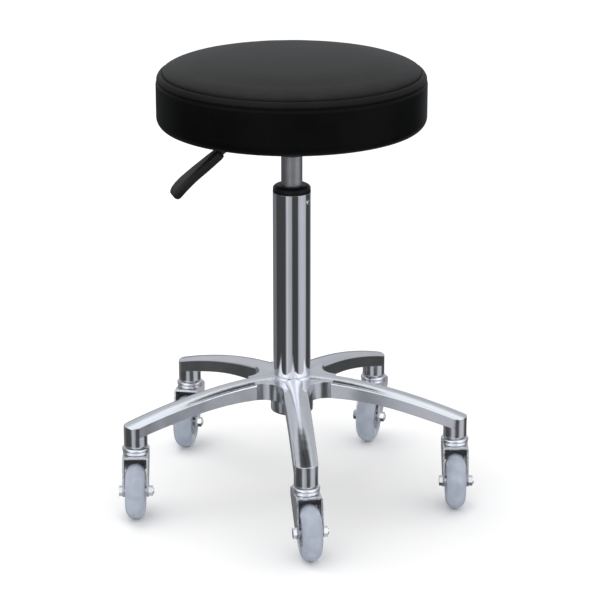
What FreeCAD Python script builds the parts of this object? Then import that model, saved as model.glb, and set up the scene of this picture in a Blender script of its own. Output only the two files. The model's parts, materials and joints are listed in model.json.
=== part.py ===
"""Rolling stylist stool: five-arm cast base on casters, gas lift column and round seat.

Lengths are millimetres and angles degrees.  +Z points up, the origin is on the floor
under the column's axis, and the front arm of the base points along -Y.
"""
import FreeCAD, Part
import math
import os
import re

import Sketcher

SIZES = {
    # casters
    "wheel_radius": 36.5, "wheel_width": 26.0, "wheel_core_radius": 17.5,
    "bearing_radius": 11.0, "bearing_width": 7.0, "bearing_shoulder_radius": 7.5,
    "axle_radius": 3.95, "axle_fit": 0.05, "caster_trail": 28.0,
    "fork_width": 34.0, "fork_plate": 2.5, "fork_top": 82.0, "fork_edge_radius": 3.0,
    "fork_back": 19.0, "fork_front": 27.0, "fork_ear_radius": 8.0,
    "cup_radius": 17.5, "cup_top": 84.2, "cap_radius": 18.0, "cap_bottom": 84.8,
    "race_inner": 9.3, "race_outer": 14.7, "race_depth": 2.0,
    "ball_radius": 2.0, "ball_circle": 12.0, "caster_balls": 12,
    "stem_radius": 5.5, "stem_length": 20.0, "rivet_radius": 9.0, "rivet_head": 2.2,
    "rivet_gap": 0.5, "cap_rim": 1.6, "cap_height": 4.0, "cap_bend": 3.2, "neck_radius": 11.0,
    "axle_head": 4.5, "axle_nut": 5.5, "axle_flats": 12.0, "axle_end": 7.0,
    "spacer_radius": 6.0, "spacer_gap": 0.3, "shield_groove": 0.5, "tyre_shoulder": 1.5,
    # five-arm base
    "arm_count": 5, "stem_circle": 222.0, "boss_radius": 15.5, "boss_bottom": 91.0,
    "arm_half_width": 16.0, "web_radius": 46.0, "hub_radius": 28.5, "hub_bottom": 108.0,
    "hub_top": 160.5, "hub_edge_radius": 3.0, "web_bottom": 134.0, "web_top": 157.0,
    "crown": 4.5, "arm_corner": 3.0, "boss_root": 112.0,
    # gas lift column
    "tube_radius": 25.0, "tube_wall": 2.0, "tube_bottom": 110.0, "tube_top": 411.0,
    "tube_floor": 4.0, "bush_radius": 24.8, "bush_top": 421.0, "bush_length": 75.0,
    "bush_shoulder": 7.0, "bush_groove": 0.8, "screw_drop": 11.0, "screw_azimuth": -37.0,
    "screw_radius": 1.5, "screw_length": 6.0, "screw_head_radius": 3.0, "screw_head": 1.6,
    "cylinder_radius": 14.0, "cylinder_wall": 2.0, "cylinder_bottom": 134.0,
    "cylinder_top": 475.0, "valve_bore": 20.0, "valve_floor": 3.0, "slide_fit": 0.06,
    "rod_radius": 5.0, "rod_end_radius": 4.0, "rod_bottom": 103.0,
    "clip_thickness": 1.5, "clip_radius": 8.0, "clip_groove": 0.6,
    "washer_radius": 15.0, "washer_thickness": 1.5, "thrust_ball_radius": 1.7,
    "thrust_ball_circle": 10.5, "thrust_balls": 12,
    "piston_top": 441.0, "piston_length": 15.0,
    "button_radius": 3.5, "button_top": 481.0, "button_length": 22.0,
    # seat mechanism
    "socket_radius": 18.0, "socket_bottom": 461.0, "plate_bottom": 497.0,
    "plate_thickness": 3.0, "plate_half_width": 75.0, "bolt_half_spacing": 60.0,
    "channel_half_length": 45.0, "channel_half_width": 27.0, "channel_wall": 2.5,
    "lever_azimuth": 190.3, "lever_height": 486.1, "lever_radius": 4.5, "lever_droop": 37.0,
    "lever_start": -5.0, "lever_knee": 63.0, "lever_bend_radius": 30.0, "lever_tail": 55.0,
    "pivot_reach": 32.0, "pivot_pin_radius": 2.5,
    "bolt_radius": 4.0, "bolt_hole_radius": 4.3, "bolt_head_radius": 7.5, "bolt_head": 5.3,
    "nut_barrel_radius": 5.2, "nut_barrel": 10.0, "nut_flange_radius": 11.0, "nut_flange": 1.4,
    # seat
    "seat_radius": 175.0, "seat_bottom": 500.5, "seat_top": 590.0,
    "board_radius": 158.0, "board_thickness": 12.0, "cover_thickness": 1.2,
    "hem": 15.0, "dust_margin": 16.0, "seat_edge_radius": 14.0,
    "crown_middle": 2.0, "crown_edge_radius": 145.0, "seat_crown": 8.0,
    "upper_seam_radius": 168.5, "upper_seam_height": 572.0, "shoulder_bend": 44.6,
    "lower_seam_radius": 174.8, "lower_seam_height": 561.0, "band_bend": 17.3,
    "side_top_height": 556.0,
}

# Direction in which each caster's wheel trails, starting from the front arm.
CASTER_HEADINGS = (-85.2, -94.7, -109.2, -104.7, -93.7)

doc = FreeCAD.newDocument("stylist_stool")
sheet = doc.addObject("Spreadsheet::Sheet", "Sizes")
for row, (alias, value) in enumerate(SIZES.items(), start=1):
    sheet.set("A%d" % row, alias)
    sheet.set("B%d" % row, repr(value))
    sheet.setAlias("B%d" % row, alias)
doc.recompute()

parts = {}


def bound(text):
    """Expression text with each size name turned into a reference to the sheet."""
    return re.sub(r"[a-z_]{3,}", lambda word: "Sizes." + word.group(0)
                  if word.group(0) in SIZES else word.group(0), text)


def size(text):
    """Present value of an expression of size names."""
    return float(sheet.evalExpression(bound(text)))


def placed(position=(0, 0, 0), turn=0.0, tilt=None):
    """Placement that tilts about a local axis first, then turns about Z."""
    rotation = FreeCAD.Rotation(FreeCAD.Vector(0, 0, 1), turn)
    if tilt:
        axis, angle = tilt
        rotation = rotation.multiply(FreeCAD.Rotation(FreeCAD.Vector(*axis), angle))
    return FreeCAD.Placement(FreeCAD.Vector(*position), rotation)


def keep(name, feature, placement=None):
    """Enter a finished sub-part under its own label."""
    feature.Label = name
    if placement is not None:
        feature.Placement = placement
    parts[name] = feature
    return feature


def origin_plane(body, role):
    """One of a body's own origin features, found by its role."""
    return next(item for item in body.Origin.OriginFeatures if item.Role == role)


def outline_sketch(body, name, plane, corners):
    """Closed outline of straight and round stretches whose corners follow the sheet.

    Each corner is (across, up) or (across, up, bend): bend is the radius of the arc from
    that corner to the next, positive where the arc bulges to the right of the way there.
    """
    sketch = body.newObject("Sketcher::SketchObject", name)
    sketch.AttachmentSupport = [(origin_plane(body, plane), "")]
    sketch.MapMode = "FlatFace"
    spots = [FreeCAD.Vector(size(c[0]), size(c[1]), 0) for c in corners]
    ends = []
    for index, corner in enumerate(corners):
        start = spots[index]
        end = spots[(index + 1) % len(spots)]
        bend = size(corner[2]) if len(corner) == 3 else 0.0
        if not bend:
            sketch.addGeometry(Part.LineSegment(start, end), False)
            ends.append((1, 2))
            continue
        chord = end - start
        sag = abs(bend) - math.sqrt(max(bend ** 2 - (chord.Length / 2) ** 2, 0.0))
        right = FreeCAD.Vector(chord.y, -chord.x, 0).normalize()
        middle = (start + end) / 2 + right * math.copysign(sag, bend)
        # a sketch keeps every arc anticlockwise, so one that bulges left is drawn backwards
        if bend > 0:
            sketch.addGeometry(Part.Arc(start, middle, end), False)
            ends.append((1, 2))
        else:
            sketch.addGeometry(Part.Arc(end, middle, start), False)
            ends.append((2, 1))
    for index, corner in enumerate(corners):
        following = (index + 1) % len(corners)
        sketch.addConstraint(Sketcher.Constraint(
            "Coincident", index, ends[index][1], following, ends[following][0]))
        for kind, text, value in (("DistanceX", corner[0], spots[index].x),
                                  ("DistanceY", corner[1], spots[index].y)):
            number = sketch.addConstraint(Sketcher.Constraint(
                kind, -1, 1, index, ends[index][0], value))
            sketch.setExpression("Constraints[%d]" % number, bound(text))
        if len(corner) == 3:
            number = sketch.addConstraint(Sketcher.Constraint(
                "Radius", index, abs(size(corner[2]))))
            sketch.setExpression("Constraints[%d]" % number, bound("abs(%s)" % corner[2]))
    return sketch


def turned(name, profiles, placement=None):
    """Body of one or more profiles of (radius, height) corners turned about its own Z."""
    body = doc.addObject("PartDesign::Body", name)
    for number, corners in enumerate(profiles):
        sketch = outline_sketch(body, "%s_profile_%d" % (name, number), "XZ_Plane", corners)
        turn = body.newObject("PartDesign::Revolution", "%s_turn_%d" % (name, number))
        turn.Profile = sketch
        turn.ReferenceAxis = (sketch, ["V_Axis"])
        turn.Angle = 360.0
    doc.recompute()
    return keep(name, body, placement)


def ring(inner, outer, low, high):
    """Plain rectangular profile of a ring or, with inner "0", of a disc."""
    return [(inner, low), (outer, low), (outer, high), (inner, high)]


def solid_feature(name, shape, placement=None):
    """Sub-part whose shape is made directly from surfaces or groups of solids."""
    feature = doc.addObject("Part::Feature", name)
    feature.Shape = shape
    return keep(name, feature, placement)


def cut_holes(body, name, plane, centres, radius, both_ways=True):
    """Pocket round holes through the whole of a body."""
    sketch = body.newObject("Sketcher::SketchObject", name + "_sketch")
    sketch.AttachmentSupport = [(origin_plane(body, plane), "")]
    sketch.MapMode = "FlatFace"
    for index, (across, up) in enumerate(centres):
        centre = FreeCAD.Vector(size(across), size(up), 0)
        sketch.addGeometry(Part.Circle(centre, FreeCAD.Vector(0, 0, 1), size(radius)), False)
        for kind, text, value in (("DistanceX", across, centre.x), ("DistanceY", up, centre.y)):
            number = sketch.addConstraint(Sketcher.Constraint(kind, -1, 1, index, 3, value))
            sketch.setExpression("Constraints[%d]" % number, bound(text))
        number = sketch.addConstraint(Sketcher.Constraint("Radius", index, size(radius)))
        sketch.setExpression("Constraints[%d]" % number, bound(radius))
    doc.recompute()
    before = body.Shape.Volume
    pocket = body.newObject("PartDesign::Pocket", name)
    pocket.Profile = sketch
    pocket.Type = "ThroughAll"
    pocket.Midplane = both_ways
    doc.recompute()
    if body.Shape.Volume > before - 1.0:
        raise RuntimeError(name + " cut nothing")
    return pocket


# --- five-arm base -----------------------------------------------------------------

def arm_section(reach, low, crease, half_width):
    """Closed wire across an arm: flat sides and base, rounded corners, crowned top."""
    corner = size("arm_corner")
    crown = size("crown")
    inner = half_width - corner

    def at(side, height):
        return FreeCAD.Vector(reach, side, height)

    lean = corner * (1 - math.sqrt(0.5))
    edges = [
        Part.LineSegment(at(-half_width, low), at(half_width, low)),
        Part.LineSegment(at(half_width, low), at(half_width, crease - corner)),
        Part.Arc(at(half_width, crease - corner), at(half_width - lean, crease - lean),
                 at(inner, crease)),
        Part.Arc(at(inner, crease), at(0, crease + crown - corner * 0.3), at(-inner, crease)),
        Part.Arc(at(-inner, crease), at(-half_width + lean, crease - lean),
                 at(-half_width, crease - corner)),
        Part.LineSegment(at(-half_width, crease - corner), at(-half_width, low)),
    ]
    return Part.Wire([edge.toShape() for edge in edges])


def arm_solid():
    """One arm along +X from the column's axis to its caster boss."""
    tip = size("stem_circle + boss_radius")
    half_width = size("arm_half_width")
    stations = (
        # reach, underside, crease
        (0.0, 134.0, 155.5),
        (60.0, 134.0, 155.0),
        (105.0, 131.5, 149.5),
        (150.0, 123.5, 140.5),
        (195.0, 112.0, 128.5),
        (tip + 2.0, 99.0, 114.0),
    )
    sections = [arm_section(reach, low, crease, half_width) for reach, low, crease in stations]
    bar = Part.makeLoft(sections, True, False)
    reach = size("stem_circle")
    boss = size("boss_radius")
    plan = Part.makeCylinder(boss, 120, FreeCAD.Vector(reach, 0, 60))
    edges = [
        Part.LineSegment(FreeCAD.Vector(0, -half_width, 60), FreeCAD.Vector(reach, -boss, 60)),
        Part.LineSegment(FreeCAD.Vector(reach, -boss, 60), FreeCAD.Vector(reach, boss, 60)),
        Part.LineSegment(FreeCAD.Vector(reach, boss, 60), FreeCAD.Vector(0, half_width, 60)),
        Part.LineSegment(FreeCAD.Vector(0, half_width, 60), FreeCAD.Vector(0, -half_width, 60)),
    ]
    wedge = Part.Face(Part.Wire([edge.toShape() for edge in edges]))
    plan = plan.fuse(wedge.extrude(FreeCAD.Vector(0, 0, 120)))
    arm = bar.common(plan)
    boss_low = size("boss_bottom")
    foot = Part.makeCylinder(boss, size("boss_root") - boss_low,
                             FreeCAD.Vector(reach, 0, boss_low))
    return arm.fuse(foot)


def web_solid():
    """Disc that joins the arms, with a round hollow between each two of them."""
    count = int(size("arm_count"))
    half_angle = math.pi / count
    half_width = size("arm_half_width")
    web = size("web_radius")
    sine = math.sin(half_angle)
    hollow = (web * sine - half_width) / (1 - sine)
    centre = web + hollow
    low = size("web_bottom")
    high = size("web_top")
    disc = Part.makeCylinder(centre * math.cos(half_angle), high - low,
                             FreeCAD.Vector(0, 0, low))
    for index in range(count):
        angle = 2 * math.pi * index / count + half_angle
        spot = FreeCAD.Vector(centre * math.cos(angle), centre * math.sin(angle), low - 5)
        disc = disc.cut(Part.makeCylinder(hollow, high - low + 10, spot))
    return disc


def star_base():
    """Cast base: hub, web, five arms and the bores for column and stems."""
    count = int(size("arm_count"))
    hub = Part.makeCylinder(size("hub_radius"), size("hub_top - hub_bottom"),
                            FreeCAD.Vector(0, 0, size("hub_bottom")))
    rims = [edge for edge in hub.Edges if edge.Curve.TypeId == "Part::GeomCircle"]
    hub = hub.makeFillet(size("hub_edge_radius"), rims)
    casting = hub.fuse(web_solid())
    arm = arm_solid()
    for index in range(count):
        turn = FreeCAD.Placement(FreeCAD.Vector(), FreeCAD.Rotation(
            FreeCAD.Vector(0, 0, 1), 360.0 * index / count))
        turned_arm = arm.copy()
        turned_arm.Placement = turn
        casting = casting.fuse(turned_arm)
        stem = Part.makeCylinder(size("stem_radius"), size("stem_length") + 1.0,
                                 FreeCAD.Vector(size("stem_circle"), 0, size("boss_bottom") - 1.0))
        stem.Placement = turn.multiply(stem.Placement)
        casting = casting.cut(stem)
    bore = Part.makeCylinder(size("tube_radius"), 200, FreeCAD.Vector(0, 0, 60))
    casting = casting.cut(bore)
    return casting.removeSplitter()


solid_feature("star_base", star_base(), placed(turn=-90.0))

# --- gas lift column ---------------------------------------------------------------

turned("column_tube", [[
    ("rod_end_radius + slide_fit", "tube_bottom"), ("tube_radius", "tube_bottom"),
    ("tube_radius", "tube_top"), ("tube_radius - tube_wall", "tube_top"),
    ("tube_radius - tube_wall", "tube_bottom + tube_floor"),
    ("rod_end_radius + slide_fit", "tube_bottom + tube_floor")]])

turned("guide_bush", [[
    ("cylinder_radius + slide_fit", "tube_top - bush_length"),
    ("tube_radius - tube_wall", "tube_top - bush_length"),
    ("tube_radius - tube_wall", "tube_top"), ("tube_radius", "tube_top"),
    ("tube_radius", "tube_top + 1.6"), ("bush_radius - bush_groove", "tube_top + 1.6"),
    ("bush_radius - bush_groove", "tube_top + 2.6"), ("bush_radius", "tube_top + 2.6"),
    ("bush_radius", "bush_top - 4", "bush_shoulder"), ("bush_radius - 5.5", "bush_top"),
    ("cylinder_radius + slide_fit", "bush_top")]])


def bush_screw():
    """Pan-head screw that holds the bush in the top of the tube."""
    outside = size("tube_radius")
    outward = FreeCAD.Vector(1, 0, 0)
    length = size("screw_length")
    shank = Part.makeCylinder(size("screw_radius"), length,
                              FreeCAD.Vector(outside + 1 - length, 0, 0), outward)
    head = Part.makeCylinder(size("screw_head_radius"), size("screw_head"),
                             FreeCAD.Vector(outside - 0.2, 0, 0), outward)
    rim = [edge for edge in head.Edges if edge.Curve.TypeId == "Part::GeomCircle"
           and edge.CenterOfMass.x > outside]
    return head.makeFillet(1.0, rim).fuse(shank).removeSplitter()


solid_feature("bush_screw", bush_screw(),
              placed((0, 0, size("tube_top - screw_drop")), size("screw_azimuth")))

CLIP_TOP = "(tube_bottom - 0.3)"
CLIP_BOTTOM = "(tube_bottom - 0.3 - clip_thickness)"
ROD_STEP = "(tube_bottom + tube_floor + 0.3)"

turned("piston_rod", [[
    ("0", "rod_bottom"), ("rod_end_radius - 0.6", "rod_bottom"),
    ("rod_end_radius", "rod_bottom + 0.6"), ("rod_end_radius", CLIP_BOTTOM),
    ("rod_end_radius - clip_groove", CLIP_BOTTOM), ("rod_end_radius - clip_groove", CLIP_TOP),
    ("rod_end_radius", CLIP_TOP), ("rod_end_radius", ROD_STEP),
    ("rod_radius", ROD_STEP), ("rod_radius", "piston_top"), ("0", "piston_top")]])

turned("rod_clip", [ring("rod_end_radius - clip_groove", "clip_radius", CLIP_BOTTOM, CLIP_TOP)])


def thrust_bearing():
    """Two hardened washers with a ring of balls between them, round the rod's foot."""
    low = size(ROD_STEP)
    washer = size("washer_thickness")
    ball = size("thrust_ball_radius")
    circle = size("thrust_ball_circle")
    count = int(size("thrust_balls"))
    solids = []
    for height in (low, low + washer + 2 * ball):
        disc = Part.makeCylinder(size("washer_radius"), washer, FreeCAD.Vector(0, 0, height))
        hole = Part.makeCylinder(size("rod_radius"), washer, FreeCAD.Vector(0, 0, height))
        solids.append(disc.cut(hole))
    for index in range(count):
        angle = 2 * math.pi * index / count
        spot = FreeCAD.Vector(circle * math.cos(angle), circle * math.sin(angle),
                              low + washer + ball)
        solids.append(Part.makeSphere(ball, spot))
    return Part.makeCompound(solids)


solid_feature("thrust_bearing", thrust_bearing())

turned("bump_stop", [[
    ("rod_radius", "cylinder_bottom - 13"), ("13", "cylinder_bottom - 13"),
    ("14", "cylinder_bottom - 11"), ("12", "cylinder_bottom - 7.5"),
    ("13", "cylinder_bottom - 4"), ("12", "cylinder_bottom - 2"),
    ("rod_radius", "cylinder_bottom - 2")]])

turned("piston", [ring("rod_radius", "cylinder_radius - cylinder_wall - slide_fit",
                       "piston_top - piston_length", "piston_top")])

turned("gas_cylinder", [[
    ("0", "cylinder_top - valve_bore - valve_floor"),
    ("cylinder_radius - cylinder_wall", "cylinder_top - valve_bore - valve_floor"),
    ("cylinder_radius - cylinder_wall", "cylinder_bottom"), ("cylinder_radius", "cylinder_bottom"),
    ("cylinder_radius", "cylinder_top - 1.5"), ("cylinder_radius - 1.5", "cylinder_top"),
    ("button_radius + slide_fit", "cylinder_top"),
    ("button_radius + slide_fit", "cylinder_top - valve_bore"),
    ("0", "cylinder_top - valve_bore")]])

turned("rod_guide", [ring("rod_radius + slide_fit", "cylinder_radius - cylinder_wall",
                          "cylinder_bottom + 0.5", "cylinder_bottom + 18")])

turned("valve_button", [[
    ("0", "button_top - button_length"), ("button_radius", "button_top - button_length"),
    ("button_radius", "button_top - 0.6"), ("button_radius - 0.6", "button_top"),
    ("0", "button_top")]])

# --- seat mechanism ----------------------------------------------------------------

turned("cone_socket", [[
    ("cylinder_radius", "socket_bottom"), ("socket_radius - 1.5", "socket_bottom"),
    ("socket_radius", "socket_bottom + 1.5"), ("socket_radius", "cylinder_top - 1"),
    ("cylinder_radius", "cylinder_top - 1")]])


def primitive(kind, name, position=(), **sizes):
    """Part primitive whose sizes follow the sheet, and its place too where one is given."""
    feature = doc.addObject(kind, name)
    for field, text in sizes.items():
        feature.setExpression(field, bound(text))
    for axis, text in zip("xyz", position):
        feature.setExpression("Placement.Base." + axis, bound(text))
    return feature


def cut_from(name, solid, tools):
    """Boolean cut of several tools from one solid."""
    group = doc.addObject("Part::MultiFuse", name + "_tools")
    group.Shapes = tools
    cut = doc.addObject("Part::Cut", name)
    cut.Base = solid
    cut.Tool = group
    return cut


def seat_plate():
    """Square steel plate with a channel below it that holds socket and lever."""
    plate = primitive("Part::Box", "mounting_plate",
                      ("-plate_half_width", "-plate_half_width", "plate_bottom"),
                      Length="2 * plate_half_width", Width="2 * plate_half_width",
                      Height="plate_thickness")
    channel = primitive("Part::Box", "channel",
                        ("-channel_half_length", "-channel_half_width", "cylinder_top - 5"),
                        Length="2 * channel_half_length", Width="2 * channel_half_width",
                        Height="plate_bottom - cylinder_top + 5")
    inside = primitive("Part::Box", "channel_inside",
                       ("-channel_half_length - 5", "channel_wall - channel_half_width",
                        "cylinder_top - 5 + channel_wall"),
                       Length="2 * channel_half_length + 10",
                       Width="2 * (channel_half_width - channel_wall)",
                       Height="plate_bottom - cylinder_top + 5 - channel_wall")
    socket = primitive("Part::Cylinder", "socket_hole", ("0", "0", "cylinder_top - 10"),
                       Radius="socket_radius", Height="12")
    pin = primitive("Part::Cylinder", "pin_hole",
                    ("pivot_reach", "channel_half_width + 3", "lever_height"),
                    Radius="pivot_pin_radius", Height="2 * channel_half_width + 6")
    pin.Placement.Rotation = FreeCAD.Rotation(FreeCAD.Vector(1, 0, 0), 90)
    hollow = cut_from("hollow_channel", channel, [inside, socket, pin])
    both = doc.addObject("Part::Fuse", "plate_with_channel")
    both.Base = plate
    both.Tool = hollow
    bolts = [primitive("Part::Cylinder", "plate_hole_%d" % number,
                       (across + "bolt_half_spacing", along + "bolt_half_spacing",
                        "plate_bottom - 1"),
                       Radius="bolt_hole_radius", Height="plate_thickness + 2")
             for number, (across, along) in enumerate((("", ""), ("-", ""), ("", "-"), ("-", "-")))]
    return cut_from("drilled_plate", both, bolts)


lever_turn = placed(turn=size("lever_azimuth"))
keep("seat_plate", seat_plate(), lever_turn)

pivot_pin = primitive("Part::Cylinder", "pivot_pin", Radius="pivot_pin_radius",
                      Height="2 * channel_half_width + 1")
keep("lever_pin", pivot_pin, lever_turn.multiply(
    placed((size("pivot_reach"), size("channel_half_width") + 0.5, size("lever_height")),
           tilt=((1, 0, 0), 90))))


def lever_path():
    """Line of the lever's rod: level over the valve, then bent down to the handle."""
    height = size("lever_height")
    bend = size("lever_bend_radius")
    slope = math.radians(size("lever_droop"))
    start = FreeCAD.Vector(size("lever_start"), 0, height)
    knee = FreeCAD.Vector(size("lever_knee"), 0, height)

    def along_bend(angle):
        return knee + FreeCAD.Vector(bend * math.sin(angle), 0, -bend * (1 - math.cos(angle)))

    after = along_bend(slope)
    end = after + FreeCAD.Vector(math.cos(slope), 0, -math.sin(slope)) * size("lever_tail")
    edges = [Part.LineSegment(start, knee), Part.Arc(knee, along_bend(slope / 2), after),
             Part.LineSegment(after, end)]
    return Part.Wire([edge.toShape() for edge in edges]), after, end


def lever_rod():
    """Round rod with an eye for the pivot pin."""
    path, after, end = lever_path()
    start = path.Vertexes[0].Point
    section = Part.Wire([Part.Circle(start, FreeCAD.Vector(1, 0, 0),
                                     size("lever_radius")).toShape()])
    rod = path.makePipeShell([section], True, False)
    eye = Part.makeCylinder(size("pivot_pin_radius + slide_fit"), 20,
                            FreeCAD.Vector(size("pivot_reach"), -10, size("lever_height")),
                            FreeCAD.Vector(0, 1, 0))
    return rod.cut(eye)


solid_feature("lever_rod", lever_rod(), lever_turn)


def paddle_section(width, thickness, corner):
    """Rounded rectangle in the XY plane: X is the handle's thickness and Y its width."""
    half_x = thickness / 2
    half_y = width / 2
    lean = corner * (1 - math.sqrt(0.5))
    edges = []
    for turn in range(4):
        flip_x = 1 if turn in (0, 3) else -1
        flip_y = 1 if turn in (0, 1) else -1
        on_side = FreeCAD.Vector(flip_x * half_x, flip_y * (half_y - corner), 0)
        on_arc = FreeCAD.Vector(flip_x * (half_x - lean), flip_y * (half_y - lean), 0)
        on_end = FreeCAD.Vector(flip_x * (half_x - corner), flip_y * half_y, 0)
        first, last = (on_side, on_end) if turn in (0, 2) else (on_end, on_side)
        if edges:
            edges.append(Part.LineSegment(edges[-1].EndPoint, first))
        edges.append(Part.Arc(first, on_arc, last))
    edges.append(Part.LineSegment(edges[-1].EndPoint, edges[0].StartPoint))
    return Part.Wire([edge.toShape() for edge in edges])


def lever_paddle():
    """Drooping moulded handle, wider and thinner towards its tip."""
    stations = (
        # reach, height, droop angle, width, thickness, corner radius
        (94.5, 470.2, 37.0, 13.0, 12.0, 3.5),
        (98.0, 467.5, 37.0, 16.0, 14.0, 3.0),
        (116.0, 453.8, 37.0, 23.0, 12.8, 3.0),
        (134.0, 440.0, 38.0, 28.5, 11.0, 3.0),
        (149.0, 427.6, 41.0, 31.0, 9.2, 3.0),
        (152.6, 424.4, 43.0, 27.0, 6.4, 3.0),
    )
    wires = []
    for reach, height, droop, width, thickness, corner in stations:
        wire = paddle_section(width, thickness, corner)
        wire.Placement = FreeCAD.Placement(
            FreeCAD.Vector(reach, 0, height),
            FreeCAD.Rotation(FreeCAD.Vector(0, 1, 0), 90 + droop))
        wires.append(wire)
    handle = Part.makeLoft(wires, True, False)
    path, after, end = lever_path()
    socket = Part.makeCylinder(size("lever_radius"), (end - after).Length, after, end - after)
    return handle.cut(socket)


solid_feature("lever_paddle", lever_paddle(), lever_turn)

# --- seat --------------------------------------------------------------------------

BOARD_BOTTOM = "(seat_bottom + cover_thickness)"
BOARD_TOP = "(seat_bottom + cover_thickness + board_thickness)"
BOLT_SPOTS = [(across * size("bolt_half_spacing"), along * size("bolt_half_spacing"))
              for across in (-1, 1) for along in (-1, 1)]


def seat_bolts():
    """Hexagon bolts that clamp the plate to the board."""
    top = size(BOARD_TOP)
    low = size("plate_bottom")
    head = size("bolt_head")
    radius = size("bolt_head_radius")
    solids = []
    for across, along in BOLT_SPOTS:
        corners = [FreeCAD.Vector(across + radius * math.cos(math.pi * k / 3),
                                  along + radius * math.sin(math.pi * k / 3), low - head)
                   for k in range(7)]
        hexagon_head = Part.Face(Part.makePolygon(corners)).extrude(FreeCAD.Vector(0, 0, head))
        shank = Part.makeCylinder(size("bolt_radius"), top - low + 1.0,
                                  FreeCAD.Vector(across, along, low - 1.0))
        solids.append(hexagon_head.fuse(shank).removeSplitter())
    return Part.makeCompound(solids)


def tee_nuts():
    """Flanged nuts let into the top of the board."""
    top = size(BOARD_TOP)
    barrel_length = size("nut_barrel")
    solids = []
    for across, along in BOLT_SPOTS:
        barrel = Part.makeCylinder(size("nut_barrel_radius"), barrel_length,
                                   FreeCAD.Vector(across, along, top - barrel_length))
        flange = Part.makeCylinder(size("nut_flange_radius"), size("nut_flange"),
                                   FreeCAD.Vector(across, along, top))
        bore = Part.makeCylinder(size("bolt_radius"), 2 * barrel_length,
                                 FreeCAD.Vector(across, along, top - barrel_length - 2))
        solids.append(barrel.fuse(flange).cut(bore).removeSplitter())
    return Part.makeCompound(solids)


solid_feature("seat_bolts", seat_bolts(), lever_turn)
solid_feature("tee_nuts", tee_nuts(), lever_turn)

BOLT_NAMES = [(across + "bolt_half_spacing", along + "bolt_half_spacing")
              for across in ("-", "") for along in ("-", "")]

board = turned("seat_board", [ring("0", "board_radius", BOARD_BOTTOM, BOARD_TOP)], lever_turn)
cut_holes(board, "nut_holes", "XY_Plane", BOLT_NAMES, "nut_barrel_radius")

dust = turned("dust_cover", [ring("0", "board_radius - dust_margin", "seat_bottom",
                                  BOARD_BOTTOM)], lever_turn)
cut_holes(dust, "bolt_clearance", "XY_Plane", BOLT_NAMES, "bolt_hole_radius")

# The cover's outline from the crown's middle to the hem, at a depth below its outer face.
CROWN_BEND = ("(((crown_edge_radius - crown_middle) ^ 2 + seat_crown ^ 2)"
              " / (2 * seat_crown))")


def top_line(depth):
    """Crown from its middle out to the upper seam."""
    return [("crown_middle", "seat_top - " + depth),
            ("crown_edge_radius", "seat_top - seat_crown - " + depth),
            ("upper_seam_radius - 0.64 * " + depth, "upper_seam_height - 0.77 * " + depth)]


def band_line(depth):
    """The narrow band between the two seams."""
    return [top_line(depth)[-1],
            ("lower_seam_radius - 0.99 * " + depth, "lower_seam_height - 0.13 * " + depth)]


def side_line(depth):
    """Side from the lower seam down and under the board's edge."""
    return [band_line(depth)[-1],
            ("seat_radius - " + depth, "side_top_height"),
            ("seat_radius - " + depth, "seat_bottom + seat_edge_radius"),
            ("seat_radius - seat_edge_radius", "seat_bottom + " + depth)]


def outwards(line, bends):
    """Corners of a line drawn from its last point to its first, with bends to the right."""
    return [corner + (bend,) if bend else corner
            for corner, bend in zip(reversed(line), list(reversed(bends)) + [None])]


def inwards(line, bends, depth):
    """Corners of a line drawn from its first point to its last, with bends to the left."""
    return [corner + ("-(%s - %s)" % (bend, depth),) if bend else corner
            for corner, bend in zip(line, bends + [None])]


TOP_BENDS = [CROWN_BEND, "shoulder_bend"]
BAND_BENDS = ["band_bend"]
SIDE_BENDS = [None, None, "seat_edge_radius"]

turned("cover_top", [
    outwards(top_line("0"), TOP_BENDS) + [("0", "seat_top"), ("0", "seat_top - cover_thickness")]
    + inwards(top_line("cover_thickness"), TOP_BENDS, "cover_thickness")])

turned("seam_band", [
    outwards(band_line("0"), BAND_BENDS)
    + inwards(band_line("cover_thickness"), BAND_BENDS, "cover_thickness")])

turned("cover_side", [
    [("board_radius - hem", "seat_bottom")] + outwards(side_line("0"), SIDE_BENDS)
    + inwards(side_line("cover_thickness"), SIDE_BENDS, "cover_thickness")
    + [("board_radius - hem", BOARD_BOTTOM)]])

FOAM_LINE = (top_line("cover_thickness") + band_line("cover_thickness")[1:]
             + side_line("cover_thickness")[1:])
FOAM_BENDS = ["%s - cover_thickness" % bend if bend else None
              for bend in TOP_BENDS + BAND_BENDS + SIDE_BENDS]

turned("seat_foam", [
    [("0", BOARD_TOP), ("board_radius", BOARD_TOP), ("board_radius", BOARD_BOTTOM)]
    + outwards(FOAM_LINE, FOAM_BENDS) + [("0", "seat_top - cover_thickness")]])

# --- casters -----------------------------------------------------------------------


def caster_stem(name, placement):
    """Grip stem with the dished upper cap and the rivet head that carries the fork."""
    under = "fork_top - fork_plate - rivet_gap"
    turned(name, [[
        ("0", under + " - rivet_head"), ("rivet_radius - 1", under + " - rivet_head"),
        ("rivet_radius", under + " - rivet_head + 1"), ("rivet_radius", under),
        ("stem_radius", under),
        ("stem_radius", "cap_bottom"), ("race_inner", "cap_bottom"),
        ("race_inner", "cap_bottom + race_depth"), ("race_outer", "cap_bottom + race_depth"),
        ("race_outer", "cap_bottom"), ("cap_radius - 0.5", "cap_bottom"),
        ("cap_radius", "cap_bottom + 0.5"), ("cap_radius", "cap_bottom + cap_rim", "cap_bend"),
        ("cap_radius - 3", "cap_bottom + cap_height"), ("neck_radius", "cap_bottom + cap_height"),
        ("neck_radius", "boss_bottom"), ("stem_radius", "boss_bottom"),
        ("stem_radius", "boss_bottom + stem_length"), ("0", "boss_bottom + stem_length")]],
        placement)


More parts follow.
